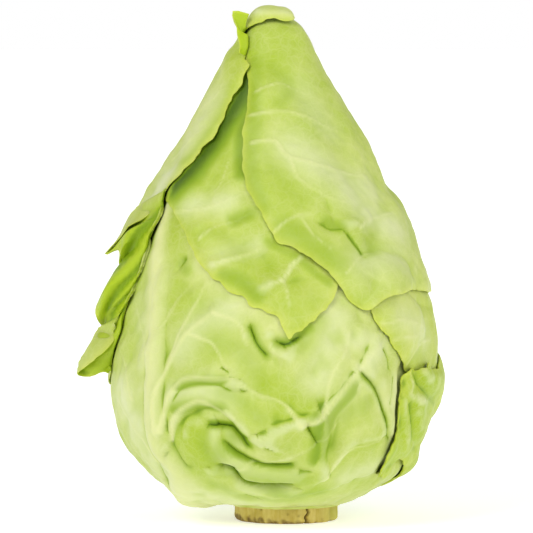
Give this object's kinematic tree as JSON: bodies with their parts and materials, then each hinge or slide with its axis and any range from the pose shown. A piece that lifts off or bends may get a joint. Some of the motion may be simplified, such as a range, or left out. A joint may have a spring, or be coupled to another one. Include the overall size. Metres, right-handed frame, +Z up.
{
  "type": "pointed cabbage",
  "caption": "Pointed head of cabbage, as cut, standing on its short stem with loose outer leaves wrapped round a tight heart.",
  "frame": {"origin": "centre of the stem's cut face, which is flat and rests on the surface", "axes": "+Z up from the cut face to the tip, -Y towards the pictured front, +X to the right seen from there"},
  "size_m": [0.1541, 0.1428, 0.2172],
  "materials": {
    "stem": "matte",
    "heart": "satin",
    "pale_leaf": "satin",
    "green_leaf": "satin",
    "bright_leaf": "satin"
  },
  "bodies": {
    "root": {"cut_stem": "stem", "inner_head": "heart", "leaf_front": "pale_leaf", "leaf_over": "green_leaf", "leaf_right": "green_leaf", "leaf_low_right": "green_leaf", "leaf_cap": "green_leaf", "leaf_left": "bright_leaf"}
  },
  "joints": []
}
